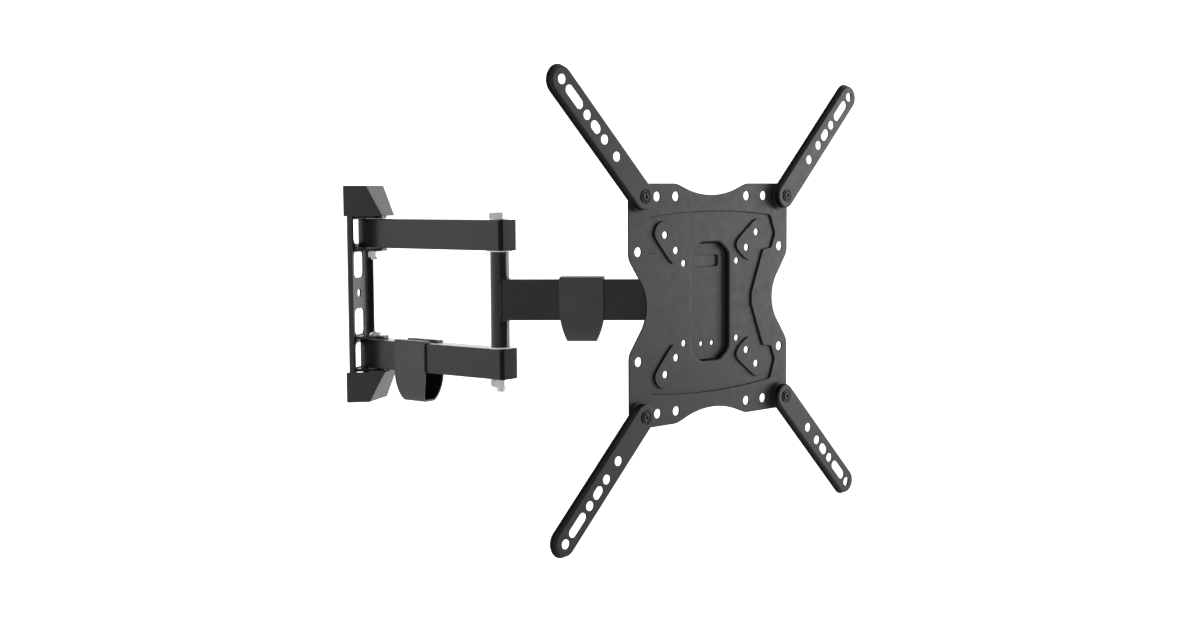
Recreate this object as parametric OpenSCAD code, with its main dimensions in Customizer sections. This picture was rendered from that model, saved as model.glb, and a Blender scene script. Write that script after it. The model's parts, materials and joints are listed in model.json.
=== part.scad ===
// Full motion TV wall mount.
// Millimetres. Origin: middle of the wall plate's back face. Up is +Z, the wall is +Y, the screen side is -Y.
// Stored pose: first arms swung toward -X, forearm toward +X, TV plate turned toward -X, extension arms at 45 degrees.

/* [Overall] */
// Distance from the wall pivot to the elbow pivot
arm_length = 174; // [120:1:260]
// Distance from the elbow pivot to the head pivot
forearm_length = 174; // [120:1:260]
// Height of the wall plate without its covers' outer walls
wall_plate_height = 220; // [180:1:320]
// Width of the wall plate
wall_plate_width = 54; // [40:1:90]
// Side of the square TV plate
tv_plate_size = 224; // [208:1:280]

/* [Wall plate] */
// Thickness of the wall plate's steel
wall_sheet = 2; // [1.5:0.25:4]
// Depth of the two side flanges from the wall
flange_depth = 7; // [4:0.5:12]
// Width of the windows in the wall plate
window_width = 24; // [14:0.5:30]
// Corner radius of the windows
window_corner = 6; // [2:0.5:7]
// Half the height left between the two middle windows
window_start = 16.3; // [12:0.1:24]
// Diameter of the two wall screw holes under the covers
wall_screw_hole = 9; // [5:0.5:12]
// Diameter of the middle pilot hole
pilot_diameter = 9; // [5:0.5:12]
// Distance from the wall to the wall pivot
pivot_depth = 20.3; // [19:0.1:30]
// Thickness of the hinge ears
ear_thickness = 3; // [2:0.5:5]
// Radius of the round end of the hinge ears
ear_radius = 13; // [11:0.5:17]

/* [Covers] */
// Wall thickness of the plastic covers
cover_wall = 2; // [1:0.25:3]
// Height of each cover
cover_height = 31.5; // [20:0.5:45]
// Depth of a cover at its outer end
cover_depth_outer = 21.5; // [16:0.5:40]
// Depth of a cover at its inner end
cover_depth_inner = 36.5; // [30:0.5:55]
// How far each side of a cover leans in for every millimetre of depth
cover_taper = 0.45; // [0.2:0.05:0.6]

/* [Arms] */
// Height of each first arm tube
arm_height = 30; // [24:1:40]
// Thickness of each first arm tube
arm_thickness = 24; // [20:1:32]
// Distance between the middles of the two first arms
arm_spacing = 126; // [110:1:160]
// Wall of the arm and forearm tubes
tube_wall = 2.5; // [1.5:0.25:4]
// Length of the solid knuckle before the wall pivot
knuckle_run = 12; // [8:1:20]
// Distance a knuckle reaches behind the wall pivot
knuckle_reach = 14; // [10:0.5:15]
// Corner radius of the knuckles and the end caps
arm_corner = 3.5; // [1:0.5:5]
// Distance from the elbow pivot to the end of the first arms
arm_end_reach = 13; // [12:0.5:22]
// Thickness of the plastic cap on the end of a first arm
end_cap = 4; // [2:0.5:6]
// Height of the forearm tube
forearm_height = 40; // [30:1:60]
// Thickness of the forearm tube
forearm_thickness = 20; // [16:1:30]

/* [Pivots] */
// Thread of the wall pivot bolts
wall_bolt = 8; // [6:1:12]
// Thread of the elbow and head pivot bolts
elbow_bolt_size = 10; // [8:1:12]
// Thread of the tilt bolt
tilt_bolt_size = 8; // [6:1:10]
// Radial running clearance of every pivot
running_gap = 0.05; // [0.02:0.01:0.1]
// Outer diameter of the elbow sleeve
sleeve_diameter = 18.6; // [16:0.2:26]
// Thickness of the nylon washers at the elbow
elbow_washer = 1; // [0.5:0.5:2]
// How far the elbow's nylon washers stand out past the arms' sides
elbow_washer_overhang = 0.6; // [0:0.1:2]
// Thickness of the nylon washers at the wall, head and tilt pivots
thin_washer = 0.5; // [0.5:0.5:1.5]

/* [Head] */
// Distance from the head pivot to the front of the TV plate
head_offset = 45; // [43:0.5:70]
// Distance from the front of the TV plate back to the tilt bolt
tilt_offset = 25; // [24:0.5:30]
// Outer diameter of the head barrel
barrel_diameter = 24; // [18:1:24]
// Thickness of the head brackets
bracket_sheet = 2.5; // [2:0.25:4]

/* [TV plate] */
// Thickness of the TV plate
plate_sheet = 2; // [1.5:0.25:3]
// Depth of the shallow middle panel
panel_depth = 1.8; // [0.6:0.1:2]
// Depth of the centre channel
channel_depth = 7; // [5:0.5:10]
// Width of the centre channel
channel_width = 56; // [50:1:64]
// Height of the centre channel
channel_height = 116; // [90:1:130]
// Diameter of the TV screw holes
tv_hole = 8.6; // [6:0.1:10]
// Diameter of the pad holes
pad_hole = 6.4; // [4:0.1:8]
// Diameter of the small pattern holes
small_hole = 5.6; // [4:0.1:7]

/* [Extension arms] */
// Width of an extension arm
ext_width = 28; // [24:1:32]
// Height of the folded rim of an extension arm
ext_depth = 7; // [4:0.5:9]
// Thickness of the extension arm's steel
ext_sheet = 2; // [1.5:0.25:3]
// Width of the lip around the back of an extension arm's rim
ext_lip = 1.5; // [0.5:0.25:2.5]
// Thickness of the spacer under each extension arm
ext_gap = 2.3; // [1:0.1:4]
// Diameter of the corner pivot screws
ext_screw = 6; // [5:0.5:8]

/* [Cable clips] */
// Length of a clip along its tube
clip_length = 43; // [30:1:60]
// Height of a clip
clip_height = 63; // [56:1:80]
// Wall thickness of a clip
clip_wall = 2.2; // [1.5:0.1:3]
// Distance from the elbow to the middle of the clip on the lower arm
lower_clip_at = 112; // [60:1:130]
// Distance from the elbow to the middle of the clip on the forearm
forearm_clip_at = 81; // [50:1:130]

/* [Stored pose] */
// Angle of the first arms from straight out, toward -X
arm_swing = 22.7; // [-80:0.1:80]
// Angle of the forearm from straight out, toward +X
forearm_swing = 11.3; // [-80:0.1:80]
// Angle of the TV plate from straight out, toward -X
head_swing = 31.1; // [-80:0.1:80]

/* [Hidden] */
$fn = 48;
e = 0.01;
wb = wall_bolt / 2;
eb = elbow_bolt_size / 2;
tb = tilt_bolt_size / 2;
arm_mid = arm_spacing / 2;
arm_in = arm_mid - arm_height / 2;
arm_out = arm_mid + arm_height / 2;
elbow = [-sin(arm_swing) * arm_length, -pivot_depth - cos(arm_swing) * arm_length];
head = [elbow[0] + sin(forearm_swing) * forearm_length, elbow[1] - cos(forearm_swing) * forearm_length];
cover_out = max(wall_plate_height / 2, arm_out + thin_washer + ear_thickness + cover_height - 2.5) + cover_wall;
cover_in = cover_out - cover_height;
window_spans = [[window_start, arm_in - 4], [arm_in + 4, arm_out + 8]];
screw_z = (arm_out + 8 + wall_plate_height / 2) / 2;
half = tv_plate_size / 2;
barrel_top = forearm_height / 2 + 0.5;
swivel_in = barrel_top + thin_washer;
swivel_out = swivel_in + bracket_sheet;
ears_in = 18.5;
ears_out = ears_in + bracket_sheet;
flange_in = ears_out + thin_washer;
flange_out = flange_in + bracket_sheet;
channel_back = channel_depth + plate_sheet;
base_back = channel_back + bracket_sheet;
ext_top = ext_gap + ext_depth;
corner = 100;
ext_reach = 141.42;
black = [0.2, 0.2, 0.21];
plastic = [0.3, 0.31, 0.32];
zinc = [0.8, 0.81, 0.83];
nylon = [0.95, 0.95, 0.93];

// ---- frames ----
module at_wall_pivot() { translate([0, -pivot_depth, 0]) children(); }
module at_arm() { at_wall_pivot() rotate([0, 0, -arm_swing]) children(); }
module at_elbow() { translate([elbow[0], elbow[1], 0]) children(); }
module at_forearm() { at_elbow() rotate([0, 0, forearm_swing]) children(); }
module at_head() { translate([head[0], head[1], 0]) rotate([0, 0, -head_swing]) children(); }
// a flat outline in the TV plate's plane, from depth w0 up to w1 in front of the plate's rim
module in_plate(w0, w1) { at_head() translate([0, -(head_offset + w0), 0]) rotate([90, 0, 0]) linear_extrude(w1 - w0) children(); }
module drill_plate(p, r, w0 = -30, w1 = 20) { at_head() translate([p[0], -(head_offset + w0), p[1]]) rotate([90, 0, 0]) cylinder(r = r, h = w1 - w0); }

// ---- helpers ----
function arc(c, r, a0, a1, n) = [for (i = [0:n]) [c[0] + r * cos(a0 + (a1 - a0) * i / n), c[1] + r * sin(a0 + (a1 - a0) * i / n)]];
function flip(p) = [for (i = [len(p) - 1:-1:0]) [-p[i][0], p[i][1]]];
function fold(p) = [for (i = [len(p) - 1:-1:0]) [p[i][0], -p[i][1]]];
function round_rect(w, h, r, n = 6) = concat(arc([w / 2 - r, h / 2 - r], r, 0, 90, n), arc([-w / 2 + r, h / 2 - r], r, 90, 180, n),
  arc([-w / 2 + r, -h / 2 + r], r, 180, 270, n), arc([w / 2 - r, -h / 2 + r], r, 270, 360, n));
module slot_cut(length, r, h) {
  cylinder(r = r, h = h);
  translate([0, length - 2 * r, 0]) cylinder(r = r, h = h);
  translate([-r, 0, 0]) cube([2 * r, length - 2 * r, h]);
}
module hex_nut(af, h, bore) { difference() { cylinder(d = af / cos(30), h = h, $fn = 6); translate([0, 0, -1]) cylinder(r = bore, h = h + 2); } }
module washer(r, bore, h) { difference() { cylinder(r = r, h = h); translate([0, 0, -1]) cylinder(r = bore, h = h + 2); } }
module hex_bolt(r, af, head_h, shank) {
  cylinder(d = af / cos(30), h = head_h, $fn = 6);
  translate([0, 0, -shank]) cylinder(r = r, h = shank + e);
}

// ---- wall side ----
module wall_plate() color(black) {
  w = wall_plate_width; h = wall_plate_height;
  difference() {
    union() {
      translate([-w / 2, -wall_sheet, -h / 2]) cube([w, wall_sheet, h]);
      for (s = [-1, 1]) translate([s * (w / 2 - wall_sheet / 2) - wall_sheet / 2, -flange_depth, -h / 2]) cube([wall_sheet, flange_depth, h]);
    }
    for (s = [-1, 1], z = window_spans) translate([0, 1, s * (z[0] + z[1]) / 2]) rotate([90, 0, 0])
      linear_extrude(wall_sheet + 2) polygon(round_rect(window_width, z[1] - z[0], window_corner, 6));
    for (s = [-1, 1]) translate([0, 1, s * screw_z]) rotate([90, 0, 0]) cylinder(d = wall_screw_hole, h = wall_sheet + 2);
    translate([0, 1, 0]) rotate([90, 0, 0]) cylinder(d = pilot_diameter, h = wall_sheet + 2);
  }
}
module ear(z0) color(black) {
  run = pivot_depth - wall_sheet;
  difference() {
    union() {
      translate([0, -pivot_depth, z0]) cylinder(r = ear_radius, h = ear_thickness);
      translate([0, 0, z0]) linear_extrude(ear_thickness) polygon([[-ear_radius - 5, -wall_sheet], [ear_radius + 5, -wall_sheet],
        [ear_radius + 5, -wall_sheet - 4], [ear_radius, -pivot_depth], [-ear_radius, -pivot_depth], [-ear_radius - 5, -wall_sheet - 4]]);
    }
    translate([0, -pivot_depth, z0 - 1]) cylinder(r = wb + running_gap, h = ear_thickness + 2);
  }
}
module upper_top_ear() { ear(arm_out + thin_washer); }
module upper_bottom_ear() { ear(arm_in - thin_washer - ear_thickness); }
module lower_top_ear() { ear(-arm_in + thin_washer); }
module lower_bottom_ear() { ear(-arm_out - thin_washer - ear_thickness); }
// a cover's block: the sides lean in from the wall, the front slants back towards the outer end
module cover_block(grow, zin, zout) {
  w = wall_plate_width / 2 + 0.5 + cover_taper * (flange_depth + 0.5) + grow; d = 60;
  di = cover_depth_inner - cover_wall + grow; do = cover_depth_outer - cover_wall + grow;
  intersection() {
    translate([0, 0, zin]) linear_extrude(zout - zin) polygon([[-w, 0], [-w + cover_taper * d, -d], [w - cover_taper * d, -d], [w, 0]]);
    translate([-60, 0, 0]) rotate([90, 0, 90]) linear_extrude(120) polygon([[0, zin], [0, zout], [-do, zout], [-di, zin]]);
  }
}
module cover() color(plastic) difference() {
  cover_block(cover_wall, cover_in, cover_out);
  translate([0, 0.5, 0]) cover_block(0, cover_in - 1, cover_out - cover_wall);
}
module top_cover() { cover(); }
module bottom_cover() { mirror([0, 0, 1]) cover(); }
module pivot_bolt(z) color(zinc) at_wall_pivot() translate([0, 0, z]) {
  rotate_extrude() polygon(concat([[0, -e]], [[7.2, -e]], [for (i = [0:6]) [7.2 * cos(15 * i), 1 + 3.4 * sin(15 * i)]]));
  translate([0, 0, -(arm_height + 2 * thin_washer + 2 * ear_thickness + 9)]) cylinder(r = wb, h = arm_height + 2 * thin_washer + 2 * ear_thickness + 9);
}
module upper_pivot_bolt() { pivot_bolt(arm_out + thin_washer + ear_thickness); }
module lower_pivot_bolt() { pivot_bolt(-arm_in + thin_washer + ear_thickness); }
module pivot_nut(z) color(zinc) at_wall_pivot() translate([0, 0, z - 6.8]) hex_nut(1.6 * wall_bolt + 0.2, 6.8, wb);
module upper_pivot_nut() { pivot_nut(arm_in - thin_washer - ear_thickness); }
module lower_pivot_nut() { pivot_nut(-arm_out - thin_washer - ear_thickness); }
module pivot_washers(z) color(nylon) for (k = [z - thin_washer, z + arm_height]) at_wall_pivot() translate([0, 0, k]) washer(9, wb + running_gap, thin_washer);
module upper_pivot_washers() { pivot_washers(arm_in); }
module lower_pivot_washers() { pivot_washers(-arm_out); }

// ---- first arms: local -Y runs from the wall pivot to the elbow ----
arm_tube_end = arm_length + arm_end_reach - end_cap;
module arm_tube(z) color(black) at_arm() difference() {
  translate([0, -knuckle_run, z]) rotate([90, 0, 0]) linear_extrude(arm_tube_end - knuckle_run) difference() {
    polygon(round_rect(arm_thickness, arm_height, 1.2, 4));
    square([arm_thickness - 2 * tube_wall, arm_height - 2 * tube_wall], center = true);
  }
  translate([0, -arm_length, z - arm_height]) cylinder(r = eb + running_gap, h = 2 * arm_height);
}
module upper_arm_tube() { arm_tube(arm_mid); }
module lower_arm_tube() { arm_tube(-arm_mid); }
module arm_knuckle(z) color(black) at_arm() difference() {
  union() {
    translate([0, 0, z - arm_height / 2]) linear_extrude(arm_height)
      polygon(concat([[-arm_thickness / 2, -knuckle_run], [arm_thickness / 2, -knuckle_run]], arc([arm_thickness / 2 - arm_corner, knuckle_reach - arm_corner], arm_corner, 0, 90, 6),
        arc([-arm_thickness / 2 + arm_corner, knuckle_reach - arm_corner], arm_corner, 90, 180, 6)));
    translate([-arm_thickness / 2 + tube_wall, -knuckle_run - 8, z - arm_height / 2 + tube_wall]) cube([arm_thickness - 2 * tube_wall, 8.5, arm_height - 2 * tube_wall]);
  }
  translate([0, 0, z - arm_height]) cylinder(r = wb + running_gap, h = 2 * arm_height);
}
module upper_arm_knuckle() { arm_knuckle(arm_mid); }
module lower_arm_knuckle() { arm_knuckle(-arm_mid); }
module arm_cap(z) color(black) at_arm() {
  translate([0, 0, z - arm_height / 2]) linear_extrude(arm_height) polygon(concat([[arm_thickness / 2, -arm_tube_end], [-arm_thickness / 2, -arm_tube_end]],
    arc([-arm_thickness / 2 + arm_corner, -arm_tube_end - end_cap + arm_corner], arm_corner, 180, 270, 6), arc([arm_thickness / 2 - arm_corner, -arm_tube_end - end_cap + arm_corner], arm_corner, 270, 360, 6)));
  difference() {
    translate([-arm_thickness / 2 + tube_wall, -arm_tube_end - 0.5, z - arm_height / 2 + tube_wall]) cube([arm_thickness - 2 * tube_wall, 1.5, arm_height - 2 * tube_wall]);
    translate([0, -arm_length, z - arm_height]) cylinder(r = eb + 3.05, h = 2 * arm_height);
  }
}
module upper_arm_cap() { arm_cap(arm_mid); }
module lower_arm_cap() { arm_cap(-arm_mid); }
module elbow_bushing(z) color(zinc) at_elbow() translate([0, 0, z - arm_height / 2 + tube_wall]) washer(eb + 3, eb + running_gap, arm_height - 2 * tube_wall);
module upper_elbow_bushing() { elbow_bushing(arm_mid); }
module lower_elbow_bushing() { elbow_bushing(-arm_mid); }

// ---- elbow ----
module elbow_bolt() color(zinc) at_elbow() rotate([0, 0, 12]) translate([0, 0, arm_out + 1]) hex_bolt(eb, 1.7 * elbow_bolt_size, 6.4, 2 * arm_out + 1 + 13);
module elbow_head_washer() color(zinc) at_elbow() translate([0, 0, arm_out]) washer(eb + 4.6, eb + running_gap, 1);
module elbow_nut() color(zinc) at_elbow() rotate([0, 0, 12]) translate([0, 0, -arm_out - 8.2]) hex_nut(1.7 * elbow_bolt_size, 8.2, eb);
module elbow_upper_bearing() color(nylon) at_elbow() translate([0, 0, arm_in - elbow_washer]) washer(arm_thickness / 2 + elbow_washer_overhang, eb + running_gap, elbow_washer);
module elbow_lower_bearing() color(nylon) at_elbow() translate([0, 0, -arm_in]) washer(arm_thickness / 2 + elbow_washer_overhang, eb + running_gap, elbow_washer);
module elbow_sleeve() color(black) at_elbow() translate([0, 0, -arm_in + elbow_washer]) washer(sleeve_diameter / 2, eb + running_gap, 2 * (arm_in - elbow_washer));

// ---- forearm: local -Y runs from the elbow to the head ----
module forearm_tube() color(black) at_forearm() difference() {
  rotate([90, 0, 0]) translate([0, 0, 3.5]) linear_extrude(forearm_length - 3.5 - barrel_diameter / 2 + 4) difference() {
    polygon(round_rect(forearm_thickness, forearm_height, 1.2, 4));
    square([forearm_thickness - 2 * tube_wall, forearm_height - 2 * tube_wall], center = true);
  }
  translate([0, 0, -60]) cylinder(d = sleeve_diameter, h = 120);
  translate([0, -forearm_length, -60]) cylinder(d = barrel_diameter, h = 120);
}
module head_barrel() color(black) at_forearm() translate([0, -forearm_length, -barrel_top]) washer(barrel_diameter / 2, eb + running_gap, 2 * barrel_top);

// ---- cable clips: length along local Y, open loop under the tube ----
function clip_side(th, ht, zt, zb, g) = let (y = th / 2 + 0.1 + g, zs = min(zt - 36, -ht / 2 - 0.5)) concat([[y, zt]], [for (i = [0:8]) let (a = 90 * i / 8)
  [y - (th / 2 - 3.5) * (1 - cos(a)), zs - (zs - zb) * sin(a)]]);
module cable_clip(th, ht) {
  zt = ht / 2 + 0.1 + clip_wall; zb = zt - clip_height; hw = clip_length / 2; zs = zt - 34;
  outer = clip_side(th, ht, zt, zb, clip_wall); inner = clip_side(th, ht, zt, zb + clip_wall, 0);
  color(plastic) intersection() {
    difference() {
      rotate([90, 0, 0]) translate([0, 0, -hw]) linear_extrude(2 * hw) difference() {
        polygon(concat(outer, [for (i = [len(outer) - 1:-1:0]) [-outer[i][0], outer[i][1]]]));
        polygon(concat([[th / 2 + 0.1, ht / 2 + 0.1]], [for (i = [1:len(inner) - 1]) inner[i]], [for (i = [len(inner) - 1:-1:1]) [-inner[i][0], inner[i][1]]], [[-th / 2 - 0.1, ht / 2 + 0.1]]));
        translate([-th / 2 + 7, ht / 2 - 1]) square([th - 14, 10]);
      }
    }
    rotate([90, 0, 90]) translate([0, 0, -40]) linear_extrude(80) polygon(concat([[hw, zt + 1]], [for (i = [0:10]) [hw - 7 * pow(i / 10, 1.7), zs - (zs - zb) * i / 10]],
      [for (i = [10:-1:0]) [-hw + 7 * pow(i / 10, 1.7), zs - (zs - zb) * i / 10]], [[-hw, zt + 1]]));
  }
}
module lower_cable_clip() { at_arm() translate([0, -arm_length + lower_clip_at, -arm_mid]) cable_clip(arm_thickness, arm_height); }
module forearm_cable_clip() { at_forearm() translate([0, -forearm_clip_at, 0]) cable_clip(forearm_thickness, forearm_height); }

// ---- head: swivel bracket, then tilt bracket ----
module swivel_bracket() color(black) at_head() difference() {
  union() {
    for (z = [swivel_in, -swivel_out]) translate([0, 0, z]) {
      cylinder(r = 14, h = bracket_sheet);
      linear_extrude(bracket_sheet) polygon([[-14, 0], [-14, -4], [-ears_out, -11.5], [-ears_out, -head_offset + tilt_offset - 6], [ears_out, -head_offset + tilt_offset - 6],
        [ears_out, -11.5], [14, -4], [14, 0]]);
    }
    for (s = [-1, 1]) translate([s > 0 ? ears_in : -ears_out, -head_offset + tilt_offset - 6, -swivel_out]) cube([bracket_sheet, head_offset - tilt_offset - 11.5 + 6, 2 * swivel_out]);
  }
  translate([0, 0, -60]) cylinder(r = eb + running_gap, h = 120);
  translate([-40, -head_offset + tilt_offset, 0]) rotate([0, 90, 0]) cylinder(r = tb + running_gap, h = 80);
}
module swivel_bolt() color(zinc) at_head() translate([0, 0, swivel_out]) hex_bolt(eb, 1.7 * elbow_bolt_size, 6.4, 2 * swivel_out + 10);
module swivel_nut() color(zinc) at_head() translate([0, 0, -swivel_out - 8]) hex_nut(1.7 * elbow_bolt_size, 8, eb);
module swivel_washers() color(nylon) for (z = [barrel_top, -swivel_in]) at_head() translate([0, 0, z]) washer(11, eb + running_gap, thin_washer);
module at_tilt() { at_head() translate([0, -head_offset + tilt_offset, 0]) rotate([0, 90, 0]) children(); }
module tilt_bolt() color(zinc) at_tilt() translate([0, 0, flange_out]) hex_bolt(tb, 1.625 * tilt_bolt_size, 5.3, 2 * flange_out + 8);
module tilt_nut() color(zinc) at_tilt() translate([0, 0, -flange_out - 6.8]) hex_nut(1.625 * tilt_bolt_size, 6.8, tb);
module tilt_washers() color(nylon) for (z = [ears_out, -flange_in]) at_tilt() translate([0, 0, z]) washer(8, tb + running_gap, thin_washer);
module tilt_bracket() color(black) difference() {
  union() {
    at_head() translate([-flange_out, -(head_offset - channel_back), -28]) cube([2 * flange_out, bracket_sheet, 78]);
    for (s = [-1, 1]) at_head() translate([s > 0 ? flange_in : -flange_out, 0, 0]) rotate([90, 0, 90]) linear_extrude(bracket_sheet)
      polygon(concat([[-head_offset + base_back - e, 22], [-head_offset + base_back - e, -22]], arc([-head_offset + tilt_offset, 0], 9, -100, 100, 14)));
  }
  at_tilt() translate([0, 0, -60]) cylinder(r = tb + running_gap, h = 120);
}

// ---- TV plate ----
notch_r = 37.4;
plate_quarter = let (cx = half - 23 + notch_r, top_r = 107.7, top_c = half - 10.8 + 107.7)
  concat([for (i = [0:5]) let (a = 180 - 9 * i) [cx + notch_r * cos(a), notch_r * sin(a)]],
    [[half - 3.2, 39.6], [half - 0.8, 43.2], [half, 47.2]],
    arc([half - 6, half - 6], 6, 0, 90, 4),
    [[52, half], [48.3, half - 0.4], [44.5, half - 1.5]],
    [for (i = [0:6]) let (a = 270 + 22 * (1 - i / 6)) [top_r * cos(a), top_c + top_r * sin(a)]]);
function quad_ring(q) = let (n = len(q)) concat(q, [for (i = [n - 2:-1:0]) [-q[i][0], q[i][1]]], [for (i = [1:n - 1]) [-q[i][0], -q[i][1]]], [for (i = [n - 2:-1:1]) [q[i][0], -q[i][1]]]);
panel_quarter = concat([[55.5, 0], [75, 46.6], [76.3, 47.6], [86.5, 48.7], [88, 49.8], [93, 61.5], [93, 63.6], [87, 79.2], [84.5, 81.3]], [for (i = [1:6]) let (a = 84 * (1 - i / 6)) [a, 81.3 + 4.7 * (1 - pow(a / 84, 2))]]);
pad_quarter = [[55, 37.2], [76.5, 61], [78.6, 66], [77, 71.5], [72.5, 76], [67, 77.6], [62, 76.4], [41.5, 61.5], [36.8, 57.5], [35, 53.5], [36.2, 49.5], [41, 44.5], [48.5, 39.5]];
module outline() polygon(quad_ring(plate_quarter));
module panel(g = 0) scale([1 + g / 90, 1 + g / 84]) polygon(quad_ring(panel_quarter));
module pad(sx, sy, g = 0) translate([sx * 57, sy * 57]) scale([1 + g / 20, 1 + g / 20]) translate([-sx * 57, -sy * 57]) polygon([for (p = pad_quarter) [sx * p[0], sy * p[1]]]);
module channel(g = 0) { w = channel_width / 2 - g; h = channel_height / 2 - g; polygon([[w, h - 11], [w - 4, h - 6.5], [w - 13, h], [-w + 13, h], [-w + 4, h - 6.5], [-w, h - 11],
  [-w, -h + 11], [-w + 4, -h + 6.5], [-w + 13, -h], [w - 13, -h], [w - 4, -h + 6.5], [w, -h + 11]]); }
module tv_plate() color(black) difference() {
  union() {
    in_plate(-plate_sheet, 0) difference() { outline(); panel(); }
    in_plate(-plate_sheet - panel_depth, -panel_depth) difference() { panel(0.8); channel(plate_sheet); for (x = [-1, 1], y = [-1, 1]) pad(x, y, -0.8); }
    for (x = [-1, 1], y = [-1, 1]) in_plate(-plate_sheet, 0) pad(x, y);
    in_plate(-channel_back, -panel_depth) difference() { channel(); channel(plate_sheet); }
    in_plate(-channel_back, -channel_depth) channel();
  }
  for (x = [-1, 1], y = [-1, 1]) {
    for (p = [[100, 50], [50, 100], [75, 100]]) drill_plate([x * p[0], y * p[1]], tv_hole / 2);
    for (p = [[50, 50], [64.6, 64.6]]) drill_plate([x * p[0], y * p[1]], pad_hole / 2);
    drill_plate([x * 37.5, y * 37.5], small_hole / 2);
    drill_plate([x * corner, y * corner], ext_screw / 2 + running_gap);
  }
  for (x = [-1, 1]) drill_plate([x * 7.6, -40.5], 2.1);
  in_plate(-20, 1) translate([-16, 33]) polygon([[0, 0], [30, 0], [32, 2], [32, 11], [0, 11]]);
}

// ---- extension arms and their corner pivots ----
module at_corner(x, y) { at_head() translate([x * corner, -head_offset, y * corner]) rotate([90, 0, 0]) children(); }
module stadium(r, len) { circle(r = r); translate([0, -r]) square([len, 2 * r]); translate([len, 0]) circle(r = r); }
module extension_arm(x, y) color(black) at_corner(x, y) translate([0, 0, ext_gap]) rotate([0, 0, atan2(y, x)]) difference() {
  union() {
    linear_extrude(ext_sheet - 0.5) stadium(ext_width / 2, ext_reach - 1);
    linear_extrude(ext_depth - 1.5) stadium(ext_width / 2 - ext_lip, ext_reach - 1);
    translate([0, 0, ext_depth - 1.5 - e]) linear_extrude(0.9 + e) stadium(ext_width / 2 - ext_lip - 0.4, ext_reach - 1);
    translate([0, 0, ext_depth - 0.6 - e]) linear_extrude(0.6 + e) stadium(ext_width / 2 - ext_lip - 1.2, ext_reach - 1);
  }
  translate([0, 0, -1]) linear_extrude(ext_depth - ext_sheet + 1) stadium(ext_width / 2 - ext_lip - ext_sheet, ext_reach - 1);
  translate([0, 0, -1]) cylinder(r = ext_screw / 2 + running_gap, h = 20);
  for (d = [50, 70.71, 100, ext_reach]) translate([d, 0, -1]) cylinder(d = tv_hole, h = 20);
  for (s = [[85.6, 12.7], [121, 25]]) translate([s[0] - s[1] / 2 + tv_hole / 2, 0, -1]) rotate([0, 0, -90]) slot_cut(s[1], tv_hole / 2, 20);
}
module extension_arm_ul() { extension_arm(-1, 1); }
module extension_arm_ur() { extension_arm(1, 1); }
module extension_arm_ll() { extension_arm(-1, -1); }
module extension_arm_lr() { extension_arm(1, -1); }
module corner_screw(x, y) color(black) at_corner(x, y) difference() {
  union() {
    translate([0, 0, ext_top]) cylinder(r = 5.4, h = 1.1);
    translate([0, 0, ext_top + 1.1 - e]) cylinder(r1 = 5.4, r2 = 4.2, h = 0.8);
    translate([0, 0, -plate_sheet - 6]) cylinder(r = ext_screw / 2, h = ext_top + plate_sheet + 6 + e);
  }
  for (a = [0, 90]) rotate([0, 0, a + 20]) translate([-2.6, -0.55, ext_top + 0.6]) cube([5.2, 1.1, 3]);
}
module corner_screw_ul() { corner_screw(-1, 1); }
module corner_screw_ur() { corner_screw(1, 1); }
module corner_screw_ll() { corner_screw(-1, -1); }
module corner_screw_lr() { corner_screw(1, -1); }
module corner_spacer(x, y) color(nylon) at_corner(x, y) washer(8, ext_screw / 2 + running_gap, ext_gap + ext_depth - ext_sheet);
module corner_spacer_ul() { corner_spacer(-1, 1); }
module corner_spacer_ur() { corner_spacer(1, 1); }
module corner_spacer_ll() { corner_spacer(-1, -1); }
module corner_spacer_lr() { corner_spacer(1, -1); }
module corner_nut(x, y) color(black) at_corner(x, y) translate([0, 0, -plate_sheet - 5]) hex_nut(10, 5, ext_screw / 2);
module corner_nut_ul() { corner_nut(-1, 1); }
module corner_nut_ur() { corner_nut(1, 1); }
module corner_nut_ll() { corner_nut(-1, -1); }
module corner_nut_lr() { corner_nut(1, -1); }

wall_plate();
upper_top_ear();
upper_bottom_ear();
lower_top_ear();
lower_bottom_ear();
top_cover();
bottom_cover();
upper_pivot_bolt();
lower_pivot_bolt();
upper_pivot_nut();
lower_pivot_nut();
upper_pivot_washers();
lower_pivot_washers();
upper_arm_tube();
lower_arm_tube();
upper_arm_knuckle();
lower_arm_knuckle();
upper_arm_cap();
lower_arm_cap();
upper_elbow_bushing();
lower_elbow_bushing();
lower_cable_clip();
elbow_bolt();
elbow_nut();
elbow_head_washer();
elbow_upper_bearing();
elbow_lower_bearing();
elbow_sleeve();
forearm_tube();
head_barrel();
forearm_cable_clip();
swivel_bracket();
swivel_bolt();
swivel_nut();
swivel_washers();
tilt_bolt();
tilt_nut();
tilt_washers();
tilt_bracket();
tv_plate();
corner_screw_ul();
corner_screw_ur();
corner_screw_ll();
corner_screw_lr();
corner_spacer_ul();
corner_spacer_ur();
corner_spacer_ll();
corner_spacer_lr();
corner_nut_ul();
corner_nut_ur();
corner_nut_ll();
corner_nut_lr();
extension_arm_ul();
extension_arm_ur();
extension_arm_ll();
extension_arm_lr();
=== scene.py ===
import json
import math
from collections import namedtuple

import bmesh
import bpy
from bpy.props import FloatProperty, FloatVectorProperty, PointerProperty
from mathutils import Matrix, Vector
from mathutils.geometry import delaunay_2d_cdt


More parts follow.
